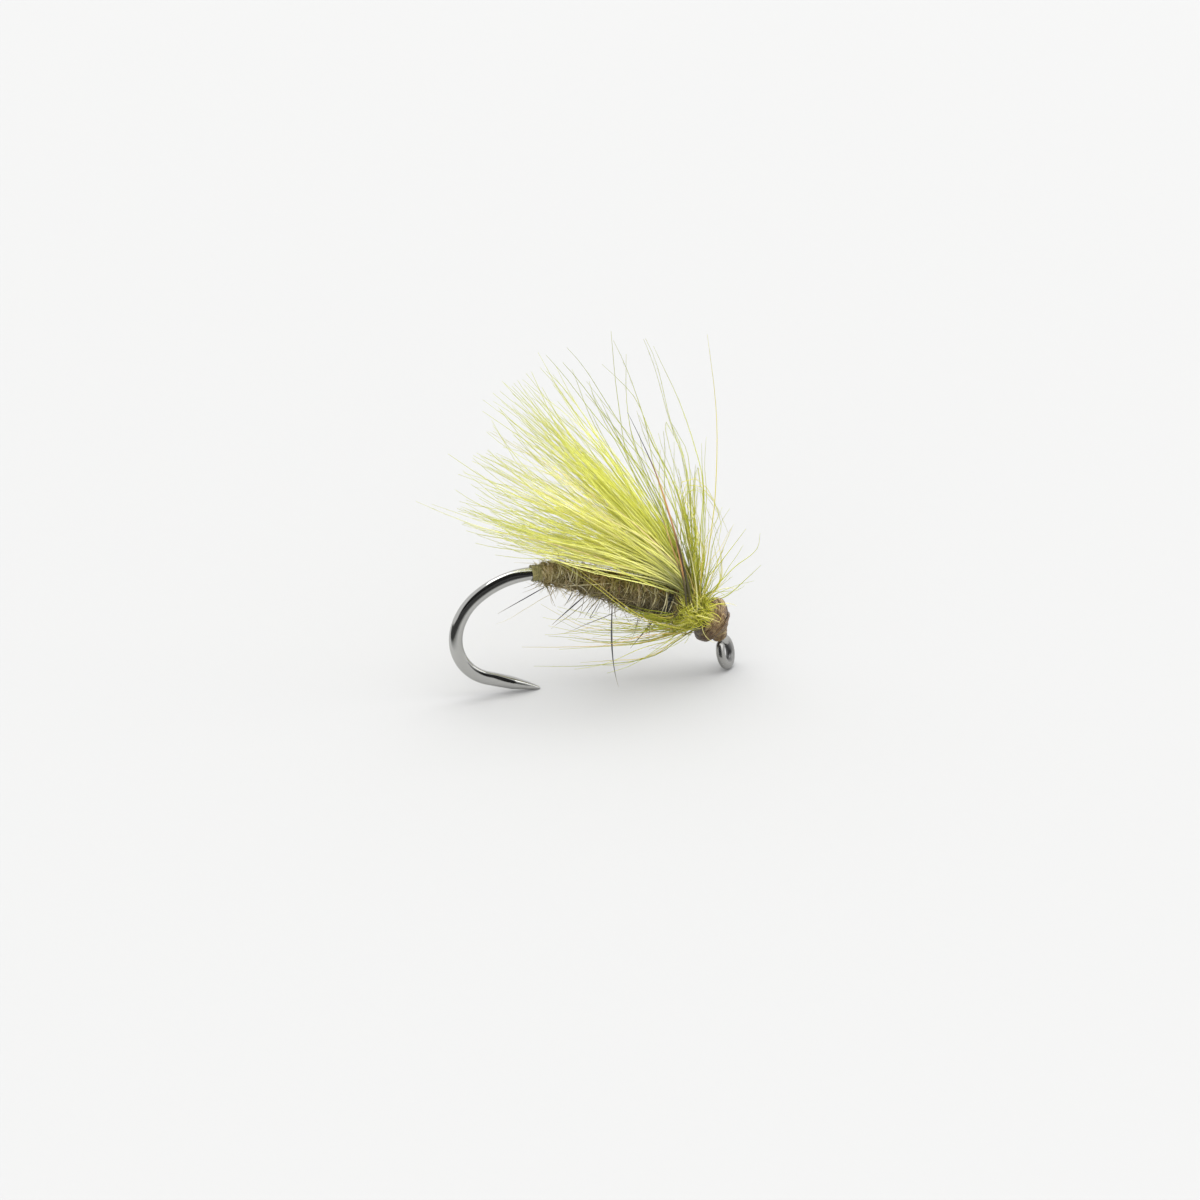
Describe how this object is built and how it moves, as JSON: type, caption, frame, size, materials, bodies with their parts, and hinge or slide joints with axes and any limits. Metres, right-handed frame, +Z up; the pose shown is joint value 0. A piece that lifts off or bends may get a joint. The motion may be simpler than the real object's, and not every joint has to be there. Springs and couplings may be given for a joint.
{
  "type": "dry fly",
  "caption": "Dry fly on a barbless down-eye hook: fur-dubbed body, swept-back soft feather wing, feather-loop hackle and varnished thread head.",
  "frame": {"origin": "on the ground under the middle of the fly's bounding box, with the fly standing on the underside of the hook's spear and the bottom of its eye", "axes": "+X from the bend towards the hook's eye, +Z up, +Y to the fly's left when looking from the eye to the bend; the hook lies in the XZ plane"},
  "size_m": [0.0137, 0.0034, 0.0141],
  "materials": {
    "wire": "polished black nickel",
    "thread_olive": "waxed tying thread",
    "thread_brown": "waxed tying thread",
    "dubbing": "fuzzy fur",
    "guard_hair": "glossy stiff hair",
    "feather_olive": "soft translucent feather",
    "feather_dark": "satin quill",
    "hackle_olive": "soft translucent feather",
    "varnish": "clear gloss"
  },
  "bodies": {
    "body": {"hook": "wire", "thread_foundation": "thread_olive", "rear_thread_wraps": "thread_olive", "abdomen_dubbing": "dubbing", "guard_hair_1": "guard_hair", "guard_hair_2": "guard_hair", "guard_hair_3": "guard_hair", "guard_hair_4": "guard_hair", "guard_hair_5": "guard_hair", "guard_hair_6": "guard_hair", "wing_lashing": "thread_olive", "hackle_rope": "hackle_olive", "wing_butts": "feather_olive", "head_wraps": "thread_brown", "whip_finish": "thread_brown", "head_varnish": "varnish"},
    "wing": {"wing_feather_1": "feather_olive", "wing_feather_2": "feather_olive", "wing_feather_3": "feather_olive", "wing_feather_4": "feather_olive", "wing_stalk": "feather_dark"},
    "hackle_upper": {"hackle_upper_left": "hackle_olive", "hackle_upper_right": "hackle_olive", "hackle_front": "hackle_olive"},
    "hackle_under": {"hackle_under_left": "hackle_olive", "hackle_under_right": "hackle_olive"}
  },
  "joints": [
    {"name": "wing_flex", "type": "hinge", "parent": "body", "child": "wing", "pos_m": [0.00394, 0, 0.00304], "axis": [0, 1, 0], "range_deg": [-6, 24], "stiffness_Nm_per_rad": 0.000009},
    {"name": "hackle_upper_flex", "type": "hinge", "parent": "body", "child": "hackle_upper", "pos_m": [0.00412, 0, 0.00284], "axis": [0, 1, 0], "range_deg": [-14, 8], "stiffness_Nm_per_rad": 0.0000001},
    {"name": "hackle_under_flex", "type": "hinge", "parent": "body", "child": "hackle_under", "pos_m": [0.0039, 0, 0.00198], "axis": [0, 1, 0], "range_deg": [-9, 9], "stiffness_Nm_per_rad": 0.0000003}
  ]
}
